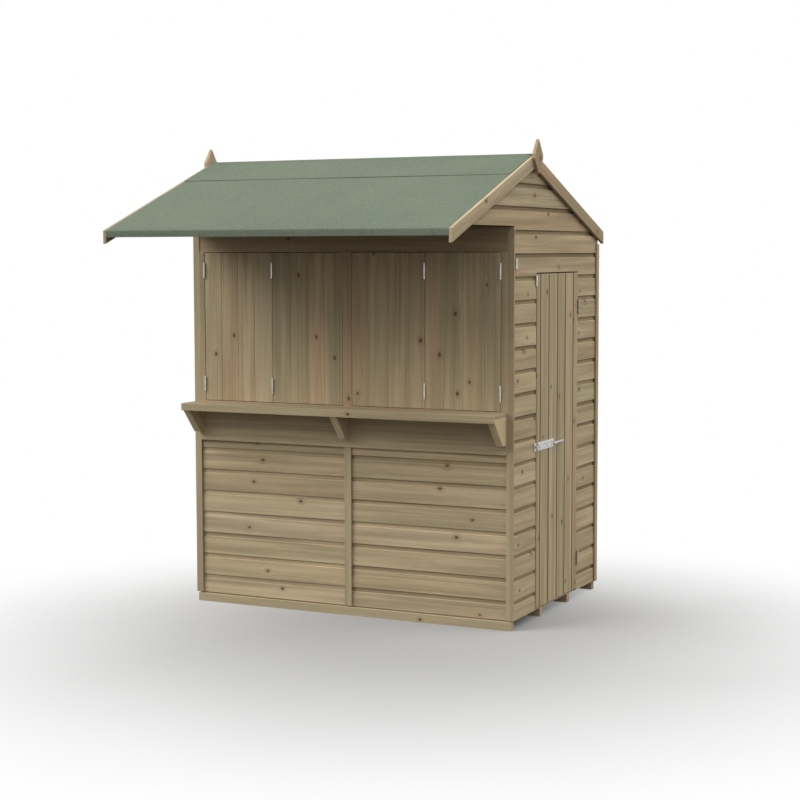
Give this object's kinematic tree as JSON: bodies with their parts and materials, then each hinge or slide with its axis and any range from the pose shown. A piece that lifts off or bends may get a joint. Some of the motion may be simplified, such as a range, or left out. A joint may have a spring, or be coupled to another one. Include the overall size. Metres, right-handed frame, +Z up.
{
  "type": "garden bar",
  "caption": "Timber garden bar: apex-roofed shed with a roof carried forward over a shuttered serving hatch and a bracketed counter, and an end door.",
  "frame": {"origin": "on the ground under the middle of the ridge", "axes": "+Z up, -Y towards the serving side, +X towards the end with the door"},
  "size_m": [1.902, 2.022, 2.4174],
  "materials": {
    "cladding_timber": "pressure-treated softwood boards, sawn and planed, matt",
    "planed_timber": "pressure-treated planed softwood, matt",
    "framing_timber": "pressure-treated framing softwood, matt",
    "roof_boards": "plain roof boards, matt",
    "roofing_felt": "green mineral-faced roofing felt, matt and gritty",
    "galvanised_steel": "bright galvanised steel"
  },
  "bodies": {
    "root": {"floor_bearers": "framing_timber", "floor_deck": "framing_timber", "left_wall": "cladding_timber", "left_gable": "cladding_timber", "right_wall_front": "cladding_timber", "right_wall_rear": "cladding_timber", "right_wall_head": "cladding_timber", "right_gable": "cladding_timber", "canopy_cheeks": "cladding_timber", "end_wall_frames": "framing_timber", "rear_wall": "cladding_timber", "long_wall_frames": "framing_timber", "front_panel_left": "cladding_timber", "front_panel_right": "cladding_timber", "wall_trims": "planed_timber", "hatch_head_board": "planed_timber", "front_top_boards": "cladding_timber", "hatch_posts": "planed_timber", "hatch_sill": "planed_timber", "shutter_left_outer": "cladding_timber", "shutter_left_inner": "cladding_timber", "shutter_right_inner": "cladding_timber", "shutter_right_outer": "cladding_timber", "shutter_hinges": "galvanised_steel", "counter_shelf": "planed_timber", "counter_edge_strip": "planed_timber", "counter_brackets": "planed_timber", "counter_fascia": "planed_timber", "roof_beams": "framing_timber", "roof_deck_front": "roof_boards", "roof_deck_rear": "roof_boards", "felt_front": "roofing_felt", "felt_rear": "roofing_felt", "felt_ridge": "roofing_felt", "barge_boards": "planed_timber", "finials": "planed_timber", "door_hinge_plates": "galvanised_steel", "wall_fastenings": "galvanised_steel"},
    "door": {"door_leaf": "cladding_timber", "door_hinge_leaves": "galvanised_steel", "pad_bolt_body": "galvanised_steel"},
    "bolt": {"pad_bolt_rod": "galvanised_steel"},
    "door_button": {"door_turn_button": "galvanised_steel"},
    "right_button": {"right_turn_button": "galvanised_steel"},
    "left_button": {"left_turn_button": "galvanised_steel"}
  },
  "joints": [
    {"name": "door_swing", "type": "hinge", "parent": "root", "child": "door", "pos_m": [0.9203, 0.664, 0.9], "axis": [0, 0, 1], "range_deg": [0, 160]},
    {"name": "bolt_slide", "type": "slide", "parent": "door", "child": "bolt", "axis": [0, -1, 0], "range_m": [0, 0.05]},
    {"name": "door_button_turn", "type": "hinge", "parent": "root", "child": "door_button", "pos_m": [0.917, 0.058, 1.721], "axis": [1, 0, 0], "range_deg": [0, 90]},
    {"name": "right_button_turn", "type": "hinge", "parent": "root", "child": "right_button", "pos_m": [0.917, -0.211, 1.807], "axis": [1, 0, 0], "range_deg": [0, 90]},
    {"name": "left_button_turn", "type": "hinge", "parent": "root", "child": "left_button", "pos_m": [-0.917, -0.211, 1.807], "axis": [-1, 0, 0], "range_deg": [0, 90]}
  ]
}
